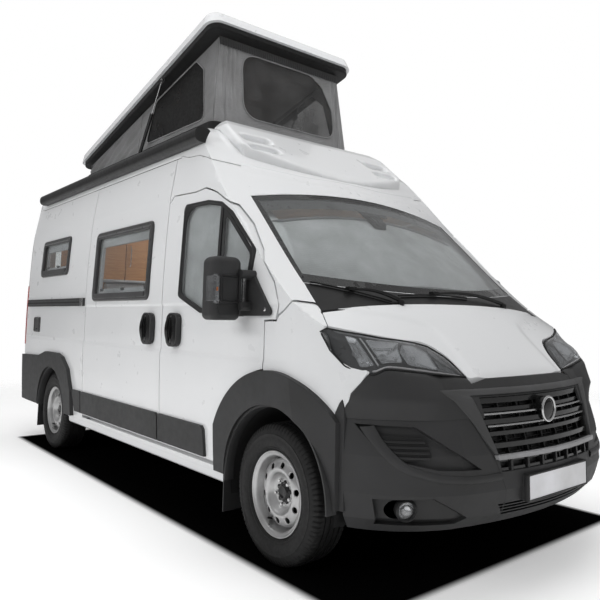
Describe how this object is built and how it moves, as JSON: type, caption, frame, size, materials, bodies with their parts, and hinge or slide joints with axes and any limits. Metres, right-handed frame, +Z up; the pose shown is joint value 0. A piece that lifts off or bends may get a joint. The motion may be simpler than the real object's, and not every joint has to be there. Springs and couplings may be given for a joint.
{
  "type": "camper van",
  "caption": "High-roof panel van converted to a camper, with a rear-hinged pop-top sleeping roof, opening doors and bonnet, steering and rolling wheels.",
  "frame": {"origin": "on the ground under the middle of the length and width", "axes": "+X forward, +Y to the driver side (left), +Z up"},
  "size_m": [5.413, 2.502, 3.4562],
  "materials": {
    "body_paint": "gloss white",
    "underbody": "black coated steel",
    "glass": "clear",
    "lamp_clear": "clear lens over a dark bezel",
    "lamp_red": "red lens",
    "dark_plastic": "grained dark grey",
    "gloss_black": "gloss black",
    "engine": "cast",
    "tank": "black",
    "roof_black": "black",
    "tent_fabric": "woven grey",
    "awning_grey": "anthracite anodised",
    "seat_fabric": "woven dark grey",
    "wood": "satin laminate",
    "steel": "polished rod",
    "strut_black": "black",
    "tyre": "rubber",
    "wheel_steel": "silver"
  },
  "bodies": {
    "root": {"floor_pan": "underbody", "wheelhouses": "underbody", "bulkhead": "underbody", "side_right": "body_paint", "side_left": "body_paint", "roof_panel": "body_paint", "roof_rails": "body_paint", "cab_frame": "body_paint", "wings": "body_paint", "windscreen": "glass", "cowl": "dark_plastic", "wipers": "dark_plastic", "sliding_door": "body_paint", "side_windows": "glass", "front_bumper": "dark_plastic", "grille": "gloss_black", "front_lamps": "lamp_clear", "rear_bumper": "dark_plastic", "tail_lamps": "lamp_red", "arch_trim": "dark_plastic", "side_trim": "dark_plastic", "front_subframe": "underbody", "rear_axle": "underbody", "engine_block": "engine", "underbody_tanks": "tank", "roof_fairing": "body_paint", "roof_base_frame": "roof_black", "roof_base_rails": "roof_black", "tent": "tent_fabric", "awning": "awning_grey", "cab_seats": "seat_fabric", "dashboard": "dark_plastic", "furniture": "wood"},
    "bonnet": {"bonnet": "body_paint"},
    "door_right": {"door_right": "body_paint", "door_right_glass": "glass", "door_right_trim": "dark_plastic"},
    "door_left": {"door_left": "body_paint", "door_left_glass": "glass", "door_left_trim": "dark_plastic"},
    "rear_door_right": {"rear_door_right": "body_paint", "rear_glass_right": "glass"},
    "rear_door_left": {"rear_door_left": "body_paint", "rear_glass_left": "glass"},
    "pop_roof": {"roof_shell": "body_paint", "roof_liner": "roof_black"},
    "strut_barrels": {"strut_barrels": "strut_black"},
    "strut_rods": {"strut_rods": "steel"},
    "knuckle_right": {"knuckle_right": "underbody"},
    "knuckle_left": {"knuckle_left": "underbody"},
    "wheel_front_right": {"tyre_front_right": "tyre", "rim_front_right": "wheel_steel"},
    "wheel_front_left": {"tyre_front_left": "tyre", "rim_front_left": "wheel_steel"},
    "wheel_rear_right": {"tyre_rear_right": "tyre", "rim_rear_right": "wheel_steel"},
    "wheel_rear_left": {"tyre_rear_left": "tyre", "rim_rear_left": "wheel_steel"}
  },
  "joints": [
    {"name": "bonnet_hinge", "type": "hinge", "parent": "root", "child": "bonnet", "pos_m": [1.935, 0, 1.335], "axis": [0, -1, 0], "range_deg": [0, 55]},
    {"name": "door_right_hinge", "type": "hinge", "parent": "root", "child": "door_right", "pos_m": [1.668, -1.032, 0.9], "axis": [0, 0, 1], "range_deg": [0, 70]},
    {"name": "door_left_hinge", "type": "hinge", "parent": "root", "child": "door_left", "pos_m": [1.668, 1.032, 0.9], "axis": [0, 0, -1], "range_deg": [0, 70]},
    {"name": "rear_door_right_hinge", "type": "hinge", "parent": "root", "child": "rear_door_right", "pos_m": [-2.6505, -0.915, 1.4], "axis": [0, 0, 1], "range_deg": [0, 180]},
    {"name": "rear_door_left_hinge", "type": "hinge", "parent": "root", "child": "rear_door_left", "pos_m": [-2.6505, 0.915, 1.4], "axis": [0, 0, -1], "range_deg": [0, 180]},
    {"name": "pop_roof_hinge", "type": "hinge", "parent": "root", "child": "pop_roof", "pos_m": [-2.56, 0, 2.58], "axis": [0, 1, 0], "range_deg": [0, 13.4], "deforming": ["tent"]},
    {"name": "strut_barrel_pivot", "type": "hinge", "parent": "root", "child": "strut_barrels", "pos_m": [-0.79, 0, 2.56], "axis": [0, 1, 0], "range_deg": [0, 49.6]},
    {"name": "strut_rod_slide", "type": "slide", "parent": "strut_barrels", "child": "strut_rods", "axis": [-0.5688, 0, -0.8225], "range_m": [0, 0.2256]},
    {"name": "steer_right", "type": "hinge", "parent": "root", "child": "knuckle_right", "pos_m": [1.7585, -0.8, 0.341], "axis": [0, 0, 1], "range_deg": [-35, 35]},
    {"name": "steer_left", "type": "hinge", "parent": "root", "child": "knuckle_left", "pos_m": [1.7585, 0.8, 0.341], "axis": [0, 0, 1], "range_deg": [-35, 35]},
    {"name": "wheel_front_right_spin", "type": "hinge", "parent": "knuckle_right", "child": "wheel_front_right", "pos_m": [1.7585, -0.905, 0.341], "axis": [0, 1, 0], "continuous": true},
    {"name": "wheel_front_left_spin", "type": "hinge", "parent": "knuckle_left", "child": "wheel_front_left", "pos_m": [1.7585, 0.905, 0.341], "axis": [0, 1, 0], "continuous": true},
    {"name": "wheel_rear_right_spin", "type": "hinge", "parent": "root", "child": "wheel_rear_right", "pos_m": [-1.6915, -0.895, 0.341], "axis": [0, 1, 0], "continuous": true},
    {"name": "wheel_rear_left_spin", "type": "hinge", "parent": "root", "child": "wheel_rear_left", "pos_m": [-1.6915, 0.895, 0.341], "axis": [0, 1, 0], "continuous": true}
  ],
  "couplings": [
    {"joint": "steer_left", "follows": "steer_right", "ratio": 1},
    {"joint": "strut_barrel_pivot", "follows": "pop_roof_hinge", "ratio": 3.6936},
    {"joint": "strut_rod_slide", "follows": "pop_roof_hinge", "m_per_rad": 0.96323}
  ]
}
